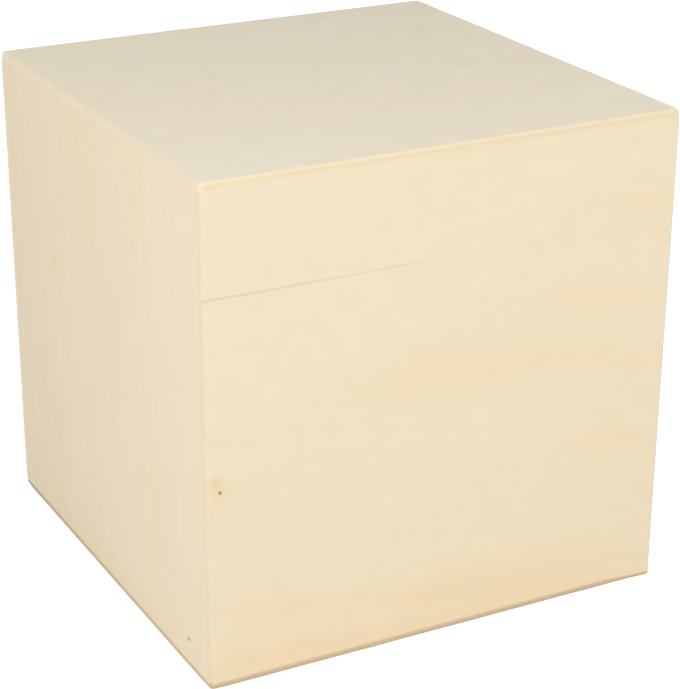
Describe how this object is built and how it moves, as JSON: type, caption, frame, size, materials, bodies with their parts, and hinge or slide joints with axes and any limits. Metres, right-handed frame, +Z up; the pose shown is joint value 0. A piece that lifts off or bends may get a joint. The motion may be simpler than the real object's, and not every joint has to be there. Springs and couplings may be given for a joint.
{
  "type": "wooden cube box",
  "caption": "Cube-shaped box of thin pale plywood with a lift-off lid that drops over an inner lip, butt-jointed boards and lightly sanded outside edges.",
  "frame": {"origin": "middle of the underside of the bottom board", "axes": "+Z up, -Y towards the front face with level grain, +X to the right; the box stands on its underside with the lid on"},
  "size_m": [0.15, 0.15, 0.15],
  "materials": {
    "front_plywood": "bare pale basswood-faced plywood, grain level, sanded smooth",
    "side_plywood": "bare pale basswood-faced plywood, grain upright, sanded smooth",
    "panel_plywood": "bare pale basswood-faced plywood, top and bottom boards, core showing on the edges",
    "lip_wood": "bare basswood strip, sanded"
  },
  "bodies": {
    "root": {"bottom_board": "panel_plywood", "base_front_board": "front_plywood", "base_back_board": "front_plywood", "base_left_board": "side_plywood", "base_right_board": "side_plywood", "lip_front_strip": "lip_wood", "lip_back_strip": "lip_wood", "lip_left_strip": "lip_wood", "lip_right_strip": "lip_wood", "top_board": "panel_plywood", "lid_front_board": "front_plywood", "lid_back_board": "front_plywood", "lid_left_board": "side_plywood", "lid_right_board": "side_plywood"}
  },
  "joints": []
}
